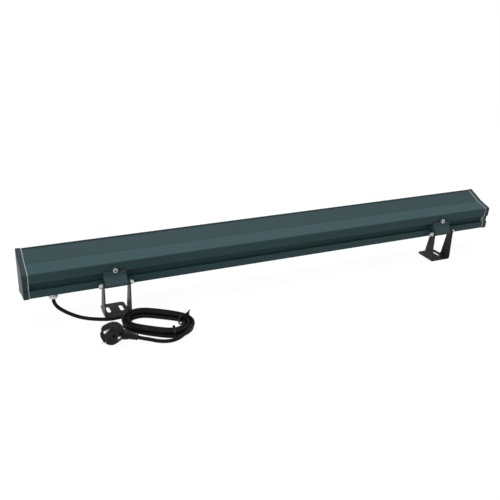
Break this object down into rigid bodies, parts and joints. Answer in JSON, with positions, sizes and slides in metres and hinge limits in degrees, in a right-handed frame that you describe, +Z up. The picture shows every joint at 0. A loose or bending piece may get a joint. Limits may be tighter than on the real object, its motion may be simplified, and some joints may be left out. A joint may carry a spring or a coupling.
{
  "type": "led wall washer floodlight",
  "caption": "Long flared LED floodlight bar that tilts on two sliding clamp feet, with a coiled mains lead and an angled plug.",
  "frame": {"origin": "on the floor under the middle of the lamp, measured without its lead and plug", "axes": "+X along the bar towards the end without the cable gland, +Y the way the light leaves, +Z up"},
  "size_m": [1, 0.2118, 0.1253],
  "materials": {
    "housing_coat": "dark grey-green powder coat on extruded aluminium",
    "cap_coat": "near-black coated die-cast aluminium",
    "foot_coat": "black-grey powder coat on bent steel",
    "silicone": "light grey silicone sheet",
    "black_seal": "black rubber",
    "rail_black": "black anodised",
    "clear_glass": "clear toughened glass",
    "lens_clear": "clear moulded acrylic",
    "board_white": "white solder mask on an aluminium board",
    "zinc": "bright zinc or stainless steel",
    "pin_metal": "bright nickel-plated brass",
    "driver_metal": "plain bent sheet",
    "green_board": "green circuit board",
    "wire_brown": "insulated core",
    "wire_red": "insulated flat twin lead",
    "cord_black": "matt black rubber sheath"
  },
  "bodies": {
    "left_bracket": {"foot_left": "foot_coat", "cord_coil": "cord_black", "cord_tail": "cord_black", "cord_tie_1": "cord_black", "cord_tie_2": "cord_black", "plug_body": "cord_black", "plug_pin_lower": "pin_metal", "plug_pin_upper": "pin_metal", "plug_earth_strip": "pin_metal"},
    "light_bar": {"housing": "housing_coat", "end_cap_left": "cap_coat", "end_cap_right": "cap_coat", "end_gasket_left": "silicone", "end_gasket_right": "silicone", "end_screw_left_1": "zinc", "end_screw_left_2": "zinc", "end_screw_left_3": "zinc", "end_screw_left_4": "zinc", "end_screw_right_1": "zinc", "end_screw_right_2": "zinc", "end_screw_right_3": "zinc", "end_screw_right_4": "zinc", "front_glass": "clear_glass", "glass_seal": "black_seal", "front_rail_top": "rail_black", "front_rail_bottom": "rail_black", "led_board_1": "board_white", "led_board_2": "board_white", "led_board_3": "board_white", "lens_strip_1": "lens_clear", "lens_strip_2": "lens_clear", "lens_strip_3": "lens_clear", "lens_screw_1": "zinc", "lens_screw_2": "zinc", "lens_screw_3": "zinc", "driver_pad": "silicone", "driver_case": "driver_metal", "driver_board": "green_board", "driver_lid": "driver_metal", "wire_live": "wire_brown", "wire_neutral": "wire_brown", "wire_earth": "wire_brown", "earth_screw": "zinc", "led_lead": "wire_red", "wire_grommet": "black_seal", "gland_body": "zinc", "gland_washer": "black_seal", "gland_locknut": "zinc", "gland_seal": "black_seal", "gland_nut": "zinc", "clamp_saddle_left": "housing_coat", "lock_screw_left": "zinc", "pivot_bolt_left_outer": "zinc", "pivot_bolt_left_inner": "zinc", "cord_lead": "cord_black"},
    "right_clamp": {"clamp_saddle_right": "housing_coat", "lock_screw_right": "zinc", "pivot_bolt_right_outer": "zinc", "pivot_bolt_right_inner": "zinc"},
    "right_foot": {"foot_right": "foot_coat"}
  },
  "joints": [
    {"name": "tilt", "type": "hinge", "parent": "left_bracket", "child": "light_bar", "pos_m": [-0.3425, -0.03594, 0.062], "axis": [1, 0, 0], "range_deg": [-4, 90], "deforming": ["cord_lead"]},
    {"name": "right_clamp_slide", "type": "slide", "parent": "light_bar", "child": "right_clamp", "axis": [1, 0, 0], "range_m": [-0.45, 0.08]},
    {"name": "right_foot_pivot", "type": "hinge", "parent": "right_clamp", "child": "right_foot", "pos_m": [0.3706, -0.03594, 0.062], "axis": [1, 0, 0], "range_deg": [-90, 4]}
  ],
  "couplings": [
    {"joint": "right_foot_pivot", "follows": "tilt", "ratio": -1}
  ]
}
